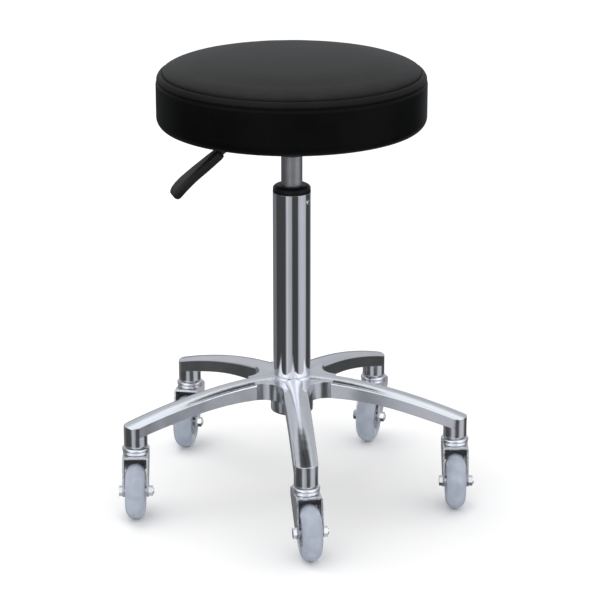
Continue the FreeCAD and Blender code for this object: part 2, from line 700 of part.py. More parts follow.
def caster_balls(name, placement):
    """Ring of swivel balls between cup and cap."""
    count = int(size("caster_balls"))
    circle = size("ball_circle")
    height = size("(cup_top + cap_bottom) / 2")
    solids = []
    for index in range(count):
        angle = 2 * math.pi * index / count
        spot = FreeCAD.Vector(circle * math.cos(angle), circle * math.sin(angle), height)
        solids.append(Part.makeSphere(size("ball_radius"), spot))
    solid_feature(name, Part.makeCompound(solids), placement)


def caster_fork(name, placement):
    """Pressed fork: one folded plate with tapering legs and the swivel cup on top."""
    body = doc.addObject("PartDesign::Body", name)
    side = outline_sketch(body, name + "_side", "XZ_Plane", [
        ("-fork_back", "fork_top"), ("-fork_back", "fork_top - 12"),
        ("caster_trail - fork_ear_radius * 0.766", "wheel_radius - fork_ear_radius * 0.643",
         "fork_ear_radius"),
        ("caster_trail + fork_ear_radius * 0.985", "wheel_radius + fork_ear_radius * 0.174"),
        ("fork_front", "fork_top")])
    slab = body.newObject("PartDesign::Pad", name + "_slab")
    slab.Profile = side
    slab.Midplane = True
    slab.setExpression("Length", bound("fork_width"))
    doc.recompute()
    folds = ["Edge%d" % number for number, edge in enumerate(slab.Shape.Edges, start=1)
             if abs(edge.CenterOfMass.z - size("fork_top")) < 0.01
             and abs(abs(edge.CenterOfMass.y) - size("fork_width / 2")) < 0.01]
    rounded = body.newObject("PartDesign::Fillet", name + "_folds")
    rounded.Base = (slab, folds)
    rounded.setExpression("Radius", bound("fork_edge_radius"))
    doc.recompute()
    before = body.Shape.Volume
    gap = outline_sketch(body, name + "_gap", "YZ_Plane", [
        ("-(fork_width / 2 - fork_plate)", "0"), ("fork_width / 2 - fork_plate", "0"),
        ("fork_width / 2 - fork_plate", "fork_top - fork_plate"),
        ("-(fork_width / 2 - fork_plate)", "fork_top - fork_plate")])
    slot = body.newObject("PartDesign::Pocket", name + "_slot")
    slot.Profile = gap
    slot.Type = "ThroughAll"
    slot.Midplane = True
    doc.recompute()
    if body.Shape.Volume > before * 0.5:
        raise RuntimeError(name + " slot cut too little")
    cup = outline_sketch(body, name + "_cup", "XZ_Plane", [
        ("stem_radius + 1", "fork_top - 0.2"), ("cup_radius", "fork_top - 0.2"),
        ("cup_radius", "cup_top - 0.8"), ("cup_radius - 0.8", "cup_top"),
        ("race_outer", "cup_top"), ("race_outer", "cup_top - race_depth"),
        ("race_inner", "cup_top - race_depth"), ("race_inner", "cup_top"),
        ("stem_radius + 1", "cup_top")])
    turn = body.newObject("PartDesign::Revolution", name + "_cup_turn")
    turn.Profile = cup
    turn.ReferenceAxis = (cup, ["V_Axis"])
    turn.Angle = 360.0
    doc.recompute()
    cut_holes(body, name + "_stem_hole", "XY_Plane", [("0", "0")], "stem_radius + 0.4")
    cut_holes(body, name + "_axle_hole", "XZ_Plane", [("caster_trail", "wheel_radius")],
              "axle_radius")
    keep(name, body, placement)


def hexagon(across_flats, start, length):
    """Hexagonal prism along +Y from a start distance."""
    radius = across_flats / math.sqrt(3)
    corners = [FreeCAD.Vector(radius * math.cos(math.pi * k / 3), start,
                              radius * math.sin(math.pi * k / 3)) for k in range(7)]
    return Part.Face(Part.makePolygon(corners)).extrude(FreeCAD.Vector(0, length, 0))


def axle_bolt(name, placement):
    """Bolt along local Y with its nut and the two spacers beside the bearings."""
    radius = size("axle_radius")
    outside = size("fork_width / 2")
    inside = outside - size("fork_plate")
    face = size("wheel_width / 2 - 1")
    along = FreeCAD.Vector(0, 1, 0)
    head = size("axle_head")
    flats = size("axle_flats")
    shank = Part.makeCylinder(radius, 2 * outside + size("axle_end"),
                              FreeCAD.Vector(0, -outside, 0), along)
    bolt = shank.fuse(hexagon(flats, -outside - head, head))
    bore = Part.makeCylinder(radius, 2 * size("axle_nut"), FreeCAD.Vector(0, outside, 0), along)
    solids = [bolt.removeSplitter(), hexagon(flats, outside, size("axle_nut")).cut(bore)]
    gap = size("spacer_gap")
    length = inside - face - gap
    for start in (-inside, face + gap):
        spot = FreeCAD.Vector(0, start, 0)
        sleeve = Part.makeCylinder(size("spacer_radius"), length, spot, along)
        solids.append(sleeve.cut(Part.makeCylinder(radius, length, spot, along)))
    solid_feature(name, Part.makeCompound(solids), placement)


def wheel_core(name, placement):
    """Moulded core with a seat for a bearing in each face."""
    face = "(wheel_width / 2 - 1)"
    seat = "(wheel_width / 2 - 1 - bearing_width)"
    turned(name, [[
        ("bearing_shoulder_radius", "-" + seat), ("bearing_radius", "-" + seat),
        ("bearing_radius", "-" + face), ("wheel_core_radius", "-" + face),
        ("wheel_core_radius", face), ("bearing_radius", face),
        ("bearing_radius", seat), ("bearing_shoulder_radius", seat)]], placement)


def wheel_bearings(name, placement):
    """Pair of shielded ball bearings, each with a shallow groove at its shield."""
    face = "(wheel_width / 2 - 1)"
    seat = "(wheel_width / 2 - 1 - bearing_width)"
    bore = "axle_radius + axle_fit"
    profiles = []
    for sign in ("", "-"):
        profiles.append([
            (bore, sign + seat), ("bearing_radius", sign + seat), ("bearing_radius", sign + face),
            ("bearing_radius - 1.5", sign + face),
            ("bearing_radius - 1.5", "%s(%s - shield_groove)" % (sign, face)),
            (bore + " + 2", "%s(%s - shield_groove)" % (sign, face)),
            (bore + " + 2", sign + face), (bore, sign + face)])
    rings = []
    for number, corners in enumerate(profiles):
        points = [FreeCAD.Vector(size(across), 0, size(up)) for across, up in corners]
        outline = Part.Face(Part.makePolygon(points + points[:1]))
        rings.append(outline.revolve(FreeCAD.Vector(), FreeCAD.Vector(0, 0, 1), 360.0))
    solid_feature(name, Part.makeCompound(rings), placement)


def wheel_tyre(name, placement):
    """Full-round polyurethane tyre moulded on the core."""
    shoulder = "(wheel_radius - wheel_width / 2 + tyre_shoulder)"
    rise = "(wheel_radius - %s)" % shoulder
    bend = "((wheel_width ^ 2 / 4 + %s ^ 2) / (2 * %s))" % (rise, rise)
    turned(name, [[
        ("wheel_core_radius", "-(wheel_width / 2 - 1.6)"),
        (shoulder, "-wheel_width / 2", bend), (shoulder, "wheel_width / 2"),
        ("wheel_core_radius", "wheel_width / 2 - 1.6")]], placement)


for number, heading in enumerate(CASTER_HEADINGS, start=1):
    angle = math.radians(-90.0 + 360.0 / size("arm_count") * (number - 1))
    reach = size("stem_circle")
    swivel = placed((reach * math.cos(angle), reach * math.sin(angle), 0), heading)
    axle = swivel.multiply(placed((size("caster_trail"), 0, size("wheel_radius"))))
    wheel = axle.multiply(placed(tilt=((1, 0, 0), -90.0)))
    caster_stem("caster_stem_%d" % number, swivel)
    caster_balls("caster_balls_%d" % number, swivel)
    caster_fork("caster_fork_%d" % number, swivel)
    axle_bolt("caster_axle_%d" % number, axle)
    wheel_core("wheel_core_%d" % number, wheel)
    wheel_bearings("wheel_bearings_%d" % number, wheel)
    wheel_tyre("wheel_tyre_%d" % number, wheel)

# --- checks and files --------------------------------------------------------------

doc.recompute()
for item in doc.Objects:
    if "Invalid" in item.State or "Error" in item.State:
        raise RuntimeError("%s did not compute: %s" % (item.Label, item.State))
os.makedirs("parts", exist_ok=True)
for name, feature in parts.items():
    shape = feature.Shape
    if shape.isNull() or not shape.isValid() or not shape.Solids:
        raise RuntimeError(name + " has no valid solid")
    shape.exportStep("parts/%s.step" % name)
print("%d sub-parts written" % len(parts))
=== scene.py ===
"""Looks for the rolling stylist stool: upholstery, metal finishes, studio and camera."""
import json
import math
import random

import bmesh
import bpy
import numpy as np
from mathutils import Matrix, Vector
from mathutils.kdtree import KDTree


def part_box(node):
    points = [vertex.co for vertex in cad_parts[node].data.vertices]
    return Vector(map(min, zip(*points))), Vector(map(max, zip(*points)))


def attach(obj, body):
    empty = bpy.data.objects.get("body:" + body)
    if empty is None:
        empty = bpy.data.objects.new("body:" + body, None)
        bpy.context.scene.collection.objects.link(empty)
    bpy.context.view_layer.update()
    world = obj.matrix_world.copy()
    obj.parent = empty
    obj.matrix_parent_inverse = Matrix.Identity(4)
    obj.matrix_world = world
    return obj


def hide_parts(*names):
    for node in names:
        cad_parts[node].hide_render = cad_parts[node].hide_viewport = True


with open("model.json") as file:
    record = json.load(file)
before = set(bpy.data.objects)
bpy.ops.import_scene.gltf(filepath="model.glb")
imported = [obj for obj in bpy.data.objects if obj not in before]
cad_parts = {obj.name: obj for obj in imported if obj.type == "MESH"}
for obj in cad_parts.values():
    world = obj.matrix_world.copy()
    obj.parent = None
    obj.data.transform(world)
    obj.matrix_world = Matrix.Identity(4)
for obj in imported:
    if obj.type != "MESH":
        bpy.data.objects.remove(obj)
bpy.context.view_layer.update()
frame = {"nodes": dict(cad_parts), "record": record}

NODES = frame["nodes"]
RANDOM = random.Random(11)
MM = 0.001
# Heights between which the vinyl's colour goes from the black of its sides to a lighter top:
# painted light, standing in for light falling on the top from above.
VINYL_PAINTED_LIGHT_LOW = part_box("cover_side")[1].z - 1 * MM
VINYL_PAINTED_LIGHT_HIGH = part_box("cover_top")[0].z + 8 * MM

# --- materials -----------------------------------------------------------------------


def new_material(name):
    """Empty node material: returns it with its tree, shader and object coordinates."""
    material = bpy.data.materials.new(name)
    material.use_nodes = True
    tree = material.node_tree
    shader = tree.nodes["Principled BSDF"]
    coordinates = tree.nodes.new("ShaderNodeTexCoord").outputs["Object"]
    return material, tree, shader, coordinates


def stretched(tree, coordinates, scale):
    """Coordinates scaled unevenly, for brushed or layered surfaces."""
    mapping = tree.nodes.new("ShaderNodeMapping")
    mapping.inputs["Scale"].default_value = scale
    tree.links.new(coordinates, mapping.inputs["Vector"])
    return mapping.outputs["Vector"]


def noise(tree, coordinates, scale, detail=4.0, distortion=0.0):
    """Noise texture's factor; scale is in cells per metre."""
    node = tree.nodes.new("ShaderNodeTexNoise")
    node.inputs["Scale"].default_value = scale
    node.inputs["Detail"].default_value = detail
    node.inputs["Distortion"].default_value = distortion
    tree.links.new(coordinates, node.inputs["Vector"])
    return node.outputs["Fac"]


def cells(tree, coordinates, scale, feature="F1"):
    """Voronoi texture's distance; scale is in cells per metre."""
    node = tree.nodes.new("ShaderNodeTexVoronoi")
    node.feature = feature
    node.inputs["Scale"].default_value = scale
    tree.links.new(coordinates, node.inputs["Vector"])
    return node.outputs["Distance"]


def spread(tree, value, low, high, start=0.3, end=0.7):
    """Maps a texture's value onto a range of numbers."""
    node = tree.nodes.new("ShaderNodeMapRange")
    node.inputs["From Min"].default_value = start
    node.inputs["From Max"].default_value = end
    node.inputs["To Min"].default_value = low
    node.inputs["To Max"].default_value = high
    tree.links.new(value, node.inputs["Value"])
    return node.outputs["Result"]


def tint(tree, value, first, second, start=0.35, end=0.65):
    """Colour that runs from one to the other with a texture's value."""
    node = tree.nodes.new("ShaderNodeValToRGB")
    node.color_ramp.elements[0].position = start
    node.color_ramp.elements[1].position = end
    node.color_ramp.elements[0].color = (*first, 1.0)
    node.color_ramp.elements[1].color = (*second, 1.0)
    tree.links.new(value, node.inputs["Fac"])
    return node.outputs["Color"]


def relief(tree, heights, edge_radius=0.0):
    """Chain of bumps, each (height, depth in metres), over edges softened by a radius."""
    normal = None
    if edge_radius:
        bevel = tree.nodes.new("ShaderNodeBevel")
        bevel.samples = 6
        bevel.inputs["Radius"].default_value = edge_radius
        normal = bevel.outputs["Normal"]
    for height, depth in heights:
        bump = tree.nodes.new("ShaderNodeBump")
        bump.inputs["Distance"].default_value = depth
        bump.inputs["Strength"].default_value = 1.0
        tree.links.new(height, bump.inputs["Height"])
        if normal is not None:
            tree.links.new(normal, bump.inputs["Normal"])
        normal = bump.outputs["Normal"]
    return normal


def finish_surface(tree, shader, colour=None, roughness=None, normal=None, **fixed):
    """Connects what varies and sets what doesn't on the shader's own sockets.

    A fixed value's name is its socket's, with underscores for spaces.
    """
    if colour is not None:
        tree.links.new(colour, shader.inputs["Base Color"])
    if roughness is not None:
        tree.links.new(roughness, shader.inputs["Roughness"])
    if normal is not None:
        tree.links.new(normal, shader.inputs["Normal"])
    for field, value in fixed.items():
        shader.inputs[field.replace("_", " ")].default_value = value


def polished_aluminium():
    """Hand-polished casting: mirror bright, with slow waves and fine polishing lines."""
    material, tree, shader, place = new_material("polished_aluminium")
    waves = noise(tree, place, 24.0, 2.0)
    lines = noise(tree, stretched(tree, place, (900.0, 900.0, 160.0)), 1.0, 3.0)
    cloud = noise(tree, place, 18.0, 4.0, 0.4)
    finish_surface(tree, shader, tint(tree, cloud, (0.80, 0.815, 0.84), (0.86, 0.87, 0.89)),
                   spread(tree, cloud, 0.17, 0.24),
                   relief(tree, ((waves, 0.0007), (lines, 0.000008)), 0.0012),
                   Metallic=1.0)
    return material


def chrome_plate(name, base, sharp=0.025, smeared=0.075, edge_radius=0.0005):
    """Bright plating with faint wiping marks."""
    material, tree, shader, place = new_material(name)
    smears = noise(tree, stretched(tree, place, (45.0, 45.0, 9.0)), 1.0, 4.0, 0.8)
    waves = noise(tree, place, 14.0, 1.0)
    finish_surface(tree, shader,
                   tint(tree, smears, tuple(c * 0.93 for c in base), base),
                   spread(tree, smears, sharp, smeared),
                   relief(tree, ((waves, 0.0004),), edge_radius), Metallic=1.0)
    return material


def zinc_plate():
    """Bright zinc on pressed steel: softer than chrome, mottled and slightly warm."""
    material, tree, shader, place = new_material("zinc_plate")
    mottle = noise(tree, place, 330.0, 4.0, 0.5)
    waves = noise(tree, place, 90.0, 2.0)
    finish_surface(tree, shader, tint(tree, mottle, (0.77, 0.78, 0.795), (0.88, 0.89, 0.90)),
                   spread(tree, mottle, 0.15, 0.24),
                   relief(tree, ((waves, 0.0003), (mottle, 0.00002)), 0.0006), Metallic=1.0)
    return material


def dull_zinc():
    """Unpolished, greyed zinc inside the pressed forks, with a speckled grain."""
    material, tree, shader, place = new_material("dull_zinc")
    speckle = noise(tree, place, 650.0, 4.0, 0.6)
    finish_surface(tree, shader, tint(tree, speckle, (0.10, 0.103, 0.108), (0.34, 0.345, 0.355)),
                   spread(tree, speckle, 0.38, 0.55), relief(tree, ((speckle, 0.00004),), 0.0005),
                   Metallic=0.35)
    return material


def turned_steel(name, first, second, low, high):
    """Ground or turned steel with fine lines round the vertical axis."""
    material, tree, shader, place = new_material(name)
    lines = noise(tree, stretched(tree, place, (60.0, 60.0, 2600.0)), 1.0, 3.0)
    cloud = noise(tree, place, 70.0, 3.0)
    finish_surface(tree, shader, tint(tree, cloud, first, second),
                   spread(tree, lines, low, high), relief(tree, ((lines, 0.000008),), 0.0004),
                   Metallic=1.0)
    return material


def moulded_plastic(name, first, second, low, high, grain_scale=1500.0, gloss=0.5):
    """Satin moulded plastic with a spark-eroded grain."""
    grain_depth = 0.00004
    material, tree, shader, place = new_material(name)
    grain = noise(tree, place, grain_scale, 3.0)
    cloud = noise(tree, place, 45.0, 4.0)
    finish_surface(tree, shader, tint(tree, cloud, first, second), spread(tree, cloud, low, high),
                   relief(tree, ((grain, grain_depth),), 0.0008), IOR=1.48,
                   Specular_IOR_Level=gloss)
    return material


def powder_coat():
    """Black powder coat with its orange-peel surface."""
    material, tree, shader, place = new_material("black_powder_coat")
    peel = noise(tree, place, 620.0, 2.0)
    cloud = noise(tree, place, 50.0, 3.0)
    finish_surface(tree, shader, tint(tree, cloud, (0.010, 0.010, 0.011), (0.022, 0.022, 0.023)),
                   spread(tree, cloud, 0.34, 0.46), relief(tree, ((peel, 0.00006),), 0.0006),
                   IOR=1.5)
    return material


def blended(tree, share, first, second):
    """Colour that runs from the first to the second as the share goes from 0 to 1."""
    node = tree.nodes.new("ShaderNodeMix")
    node.data_type = "RGBA"
    tree.links.new(share, node.inputs["Factor"])
    tree.links.new(first, node.inputs["A"])
    tree.links.new(second, node.inputs["B"])
    return node.outputs["Result"]


def vinyl():
    """Satin black upholstery vinyl: pebbled grain, fine pores, and a top painted lighter than its
    sides, as light from above would make it.
    """
    material, tree, shader, place = new_material("black_vinyl")
    parts = tree.nodes.new("ShaderNodeSeparateXYZ")
    tree.links.new(place, parts.inputs["Vector"])
    # Painted light: a share that rises with height and blends the black side colour into a lighter
    # top colour.
    painted_light_share = spread(tree, parts.outputs["Z"], 0.0, 1.0, VINYL_PAINTED_LIGHT_LOW, VINYL_PAINTED_LIGHT_HIGH)
    pebbles = cells(tree, place, 900.0, "SMOOTH_F1")
    pores = noise(tree, place, 3200.0, 2.0)
    folds = noise(tree, place, 160.0, 3.0, 0.4)
    rubbed = noise(tree, place, 30.0, 7.0, 0.6)
    side_colour = tint(tree, rubbed, (0.0012, 0.0013, 0.0015), (0.0020, 0.0021, 0.0022))
    # Painted light: the top's lighter colour stands in for light falling on it from above.
    painted_lit_top_colour = tint(tree, rubbed, (0.0165, 0.0166, 0.0148), (0.0215, 0.0215, 0.0192))
    finish_surface(tree, shader, blended(tree, painted_light_share, side_colour, painted_lit_top_colour),
                   spread(tree, rubbed, 0.40, 0.45),
                   relief(tree, ((folds, 0.00005), (pebbles, 0.00012), (pores, 0.00002))),
                   IOR=1.40, Specular_IOR_Level=0.115)
    return material


def thread():
    """Black bonded thread with a twist."""
    material, tree, shader, place = new_material("black_thread")
    twist = noise(tree, place, 5000.0, 2.0)
    finish_surface(tree, shader,
                   tint(tree, twist, (0.0015, 0.0015, 0.0016), (0.0060, 0.0060, 0.0062)),
                   spread(tree, twist, 0.55, 0.75), relief(tree, ((twist, 0.00006),)),
                   Specular_IOR_Level=0.1)
    return material


def polyurethane():
    """Translucent blue-grey cast tyre with soft depth, faint flow lines and floor dust."""
    material, tree, shader, place = new_material("clear_polyurethane")
    flow = noise(tree, place, 45.0, 3.0, 0.8)
    dust = noise(tree, place, 900.0, 3.0)
    finish_surface(tree, shader, tint(tree, flow, (0.40, 0.44, 0.52), (0.48, 0.525, 0.61)),
                   spread(tree, dust, 0.16, 0.26), relief(tree, ((flow, 0.00006), (dust, 0.00001))),
                   IOR=1.5, Subsurface_Weight=0.4, Subsurface_Scale=0.005,
                   Transmission_Weight=0.1)
    shader.inputs["Subsurface Radius"].default_value = (0.8, 0.9, 1.0)
    return material


def plywood():
    """Birch plywood: long grain on the faces, dark glue lines on the edge."""
    material, tree, shader, place = new_material("birch_plywood")
    grain = noise(tree, stretched(tree, place, (14.0, 260.0, 900.0)), 1.0, 5.0, 0.8)
    finish_surface(tree, shader, tint(tree, grain, (0.42, 0.27, 0.14), (0.68, 0.50, 0.31)),
                   spread(tree, grain, 0.55, 0.75), relief(tree, ((grain, 0.0001),)))
    return material


def dust_cloth():
    """Black non-woven cloth with its bonded dot pattern."""
    material, tree, shader, place = new_material("dust_cloth")
    dots = cells(tree, place, 700.0)
    fibres = noise(tree, place, 1800.0, 4.0, 2.0)
    finish_surface(tree, shader, tint(tree, fibres, (0.006, 0.006, 0.006), (0.022, 0.022, 0.022)),
                   spread(tree, fibres, 0.8, 0.95),
                   relief(tree, ((dots, 0.0002), (fibres, 0.0001))), Sheen_Weight=0.15)
    return material


def foam():
    """Open-cell foam, seen only where a cover is lifted off."""
    material, tree, shader, place = new_material("seat_foam")
    pores = cells(tree, place, 1100.0)
    finish_surface(tree, shader, tint(tree, pores, (0.55, 0.48, 0.30), (0.74, 0.67, 0.46)),
                   spread(tree, pores, 0.8, 0.95), relief(tree, ((pores, 0.0004),)))
    return material


MATERIALS = {
    "polished_aluminium": polished_aluminium(),
    "chrome_tube": chrome_plate("chrome_tube", (0.86, 0.87, 0.90)),
    "chrome_hardware": chrome_plate("chrome_hardware", (0.90, 0.91, 0.92), 0.05, 0.14, 0.0004),
    "zinc_plate": zinc_plate(),
    "ground_steel": turned_steel("ground_steel", (0.50, 0.50, 0.51), (0.64, 0.64, 0.66),
                                 0.14, 0.26),
    "satin_steel": turned_steel("satin_steel", (0.43, 0.43, 0.425), (0.49, 0.49, 0.485),
                                0.42, 0.52),
    "spring_steel": turned_steel("spring_steel", (0.30, 0.30, 0.31), (0.42, 0.42, 0.43),
                                 0.28, 0.42),
    "black_steel": powder_coat(),
    "black_nylon": moulded_plastic("black_nylon", (0.004, 0.004, 0.005), (0.009, 0.009, 0.010),
                                   0.34, 0.5, gloss=0.25),
    "black_handle": moulded_plastic("black_handle", (0.006, 0.006, 0.005), (0.010, 0.010, 0.008),
                                    0.38, 0.48, 1800.0, gloss=0.3),
    "black_rubber": moulded_plastic("black_rubber", (0.010, 0.010, 0.010), (0.022, 0.022, 0.022),
                                    0.6, 0.8),
    "grey_core": moulded_plastic("grey_core", (0.20, 0.22, 0.25), (0.27, 0.29, 0.33), 0.3, 0.44),
    "plywood": plywood(),
    "black_cambric": dust_cloth(),
    "black_vinyl": vinyl(),
    "foam": foam(),
    "clear_polyurethane": polyurethane(),
}


def paint(thing, material):
    """Gives an object one material in every slot."""
    slots = thing.data.materials
    if not slots:
        slots.append(material)
    for index in range(len(slots)):
        slots[index] = material


for part in frame["record"]["subparts"]:
    paint(NODES[part["node"]], MATERIALS[part["material_slot"]])

# --- seat cushion ------------------------------------------------------------------------

# Places on the cover's outline that the CAD's boxes give, in metres. A seam is a pair of
# radius and height.
SEAT_LOW, SEAT_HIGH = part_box("cover_side")
SEAT_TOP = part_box("cover_top")[1].z
BOARD_LOW, BOARD_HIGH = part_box("seat_board")
SEAT_RADIUS = SEAT_HIGH.x
BOARD_RADIUS = BOARD_HIGH.x
UPPER_SEAM = (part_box("cover_top")[1].x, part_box("cover_top")[0].z + 0.9 * MM)
LOWER_SEAM = (SEAT_RADIUS - 0.2 * MM, SEAT_HIGH.z)

# Sizes of the cover that its boxes don't give, in metres, the same as in the CAD.
HEM_RADIUS = BOARD_RADIUS - 15 * MM
EDGE_RADIUS = 14 * MM
CROWN = 8 * MM
CROWN_EDGE = SEAT_RADIUS - 30 * MM
SIDE_TOP = LOWER_SEAM[1] - 5 * MM
SHOULDER_BEND = 44.6 * MM
BAND_BEND = 17.3 * MM

# Sewn seams: how far the groove sinks, its width, and the gathers beside it.
SEAM_DEPTH = 2.1 * MM
SEAM_WIDTH = 1.8 * MM
GATHER_HEIGHT = 0.035 * MM
GATHER_REACH = 7 * MM
GATHER_WAVES = 9

# Mesh of the cushion and its cloth simulation.
SEGMENTS = 480
VOXEL = 5 * MM
PRESSURE = 4.0
LAST_FRAME = 20
AVERAGING_PASSES = 14
SWELL = 2.5 * MM

HEXAGON = [index * math.pi / 3 for index in range(6)]


def arc(start, end, bend, steps):
    """Points after start along an arc that bulges outwards and up between two points."""
    start, end = Vector(start), Vector(end)
    chord = end - start
    outward = Vector((-chord.y, chord.x)).normalized()
    rise = math.sqrt(bend ** 2 - (chord.length / 2) ** 2)
    centre = (start + end) / 2 - outward * rise
    first = math.atan2(start.y - centre.y, start.x - centre.x)
    last = math.atan2(end.y - centre.y, end.x - centre.x)
    return [(centre.x + bend * math.cos(first + (last - first) * step / steps),
             centre.y + bend * math.sin(first + (last - first) * step / steps))
            for step in range(1, steps + 1)]


def straight(start, end, steps):
    """Points after start along the straight line between two points."""
    return [(start[0] + (end[0] - start[0]) * step / steps,
             start[1] + (end[1] - start[1]) * step / steps) for step in range(1, steps + 1)]


def cover_line():
    """Points of the cover's outer line from the crown's middle to the hem."""
    crown_steps = 48
    edge_start = SEAT_LOW.z + EDGE_RADIUS
    line = []
    for step in range(1, crown_steps + 1):
        radius = CROWN_EDGE * step / crown_steps
        line.append((radius, SEAT_TOP - CROWN * (radius / CROWN_EDGE) ** 2))
    line += arc(line[-1], UPPER_SEAM, SHOULDER_BEND, 42)
    line += arc(line[-1], LOWER_SEAM, BAND_BEND, 24)
    line += straight(LOWER_SEAM, (SEAT_RADIUS, SIDE_TOP), 10)
    line += straight((SEAT_RADIUS, SIDE_TOP), (SEAT_RADIUS, edge_start), 20)
    for angle in range(6, 91, 6):
        turn = math.radians(angle)
        line.append((SEAT_RADIUS - EDGE_RADIUS * (1 - math.cos(turn)),
                     edge_start - EDGE_RADIUS * math.sin(turn)))
    line += straight((SEAT_RADIUS - EDGE_RADIUS, SEAT_LOW.z), (HEM_RADIUS, SEAT_LOW.z), 6)
    return line


def ring_points(line):
    """Array of points: ring by segment by coordinate."""
    turn = np.arange(SEGMENTS) * 2 * math.pi / SEGMENTS
    radius = np.array([point[0] for point in line])[:, None]
    height = np.array([point[1] for point in line])[:, None]
    return np.stack([radius * np.cos(turn), radius * np.sin(turn),
                     np.broadcast_to(height, (len(line), SEGMENTS))], axis=-1)


def ring_mesh(name, points):
    """Closed mesh of quads between rings, with a fan over each end."""
    count = len(points)
    vertices = [tuple(point) for point in points.reshape(-1, 3)]
    faces = []
    for ring in range(count - 1):
        for segment in range(SEGMENTS):
            following = (segment + 1) % SEGMENTS
            faces.append((ring * SEGMENTS + segment, (ring + 1) * SEGMENTS + segment,
                          (ring + 1) * SEGMENTS + following, ring * SEGMENTS + following))
    top, bottom = len(vertices), len(vertices) + 1
    vertices += [tuple(points[0].mean(axis=0)), tuple(points[-1].mean(axis=0))]
    last = (count - 1) * SEGMENTS
    for segment in range(SEGMENTS):
        following = (segment + 1) % SEGMENTS
        faces.append((top, segment, following))
        faces.append((bottom, last + following, last + segment))
    mesh = bpy.data.meshes.new(name)
    mesh.from_pydata(vertices, [], faces)
    mesh.update()
    return mesh


def new_object(name, mesh):
    """Object in the scene for a mesh, shaded smooth."""
    thing = bpy.data.objects.new(name, mesh)
    bpy.context.scene.collection.objects.link(thing)
    mesh.shade_smooth()
    return thing


def loft(maker, sections):
    """Faces between closed sections of points, with both ends closed."""
    rings = [[maker.verts.new(point) for point in section] for section in sections]
    for low, high in zip(rings, rings[1:]):
        for index in range(len(low)):
            following = (index + 1) % len(low)
            maker.faces.new((low[index], low[following], high[following], high[index]))
    maker.faces.new(list(reversed(rings[0])))
    maker.faces.new(rings[-1])


def new_piece(name, maker, body, material):
    """Painted object from a bmesh, riding on a body."""
    bmesh.ops.recalc_face_normals(maker, faces=maker.faces)
    mesh = bpy.data.meshes.new(name)
    maker.to_mesh(mesh)
    maker.free()
    piece = new_object(name, mesh)
    paint(piece, material)
    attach(piece, body)
    return piece


def evaluated_mesh(thing):
    """Mesh of an object with its modifiers applied."""
    bpy.context.view_layer.update()
    state = thing.evaluated_get(bpy.context.evaluated_depsgraph_get())
    return bpy.data.meshes.new_from_object(state)


def coordinates_of(mesh):
    """Array of a mesh's vertex coordinates."""
    flat = np.zeros(len(mesh.vertices) * 3)
    mesh.vertices.foreach_get("co", flat)
    return flat.reshape(-1, 3)


def even_out(edges, shift, passes):
    """Averages each point's movement with its neighbours' to leave the broad swelling."""
    ends = np.concatenate([edges[0::2], edges[1::2]])
    others = np.concatenate([edges[1::2], edges[0::2]])
    count = np.bincount(ends, minlength=len(shift))[:, None]
    for _ in range(passes):
        sums = [np.bincount(ends, shift[others, axis], len(shift)) for axis in range(3)]
        total = np.stack(sums, axis=1)
        shift = 0.5 * shift + 0.5 * total / count
    return shift


def swelling(line):
    """Cloth simulation of the stuffed cover, held at its seams and under the board.

    Returns the places and the movements of the simulated cover's points.
    """
    form = new_object("cushion_form", ring_mesh("cushion_form", ring_points(line)))
    remesh = form.modifiers.new("remesh", "REMESH")
    remesh.mode = "VOXEL"
    remesh.voxel_size = VOXEL
    cover = new_object("cushion_cover", evaluated_mesh(form))
    bpy.data.objects.remove(form)
    start = coordinates_of(cover.data)
    cover_edges = np.zeros(len(cover.data.edges) * 2, dtype=np.int32)
    cover.data.edges.foreach_get("vertices", cover_edges)
    radius = np.hypot(start[:, 0], start[:, 1])
    pins = cover.vertex_groups.new(name="held")
    for seam in (UPPER_SEAM, LOWER_SEAM):
        near = np.hypot(radius - seam[0], start[:, 2] - seam[1]) < VOXEL
        pins.add(np.flatnonzero(near).tolist(), 1.0, "REPLACE")
    pins.add(np.flatnonzero(start[:, 2] < SEAT_LOW.z + VOXEL).tolist(), 1.0, "REPLACE")
    cloth = cover.modifiers.new("cloth", "CLOTH").settings
    cloth.vertex_group_mass = "held"
    cloth.use_pressure = True
    cloth.uniform_pressure_force = PRESSURE
    cloth.effector_weights.gravity = 0.0
    for number in range(1, LAST_FRAME + 1):
        bpy.context.scene.frame_set(number)
    moved = coordinates_of(evaluated_mesh(cover))
    bpy.context.scene.frame_set(1)
    bpy.data.objects.remove(cover)
    shift = even_out(cover_edges, moved - start, AVERAGING_PASSES)
    length = np.maximum(np.linalg.norm(shift, axis=1, keepdims=True), 1e-9)
    return start, shift * np.minimum(1.0, SWELL / length)


def swell(points, start, shift):
    """Moves the fine cover as the simulated points nearest to it moved."""
    tree = KDTree(len(start))
    for index, place in enumerate(start):
        tree.insert(place, index)
    tree.balance()
    moved = points.copy()
    neighbours, softening = 6, 0.5 * MM
    for ring, segment in np.ndindex(points.shape[:2]):
        near = tree.find_n(points[ring, segment], neighbours)
        weight = np.array([1.0 / (distance + softening) for _, _, distance in near])
        step = shift[[index for _, index, _ in near]]
        moved[ring, segment] += (step * weight[:, None]).sum(axis=0) / weight.sum()
    return moved


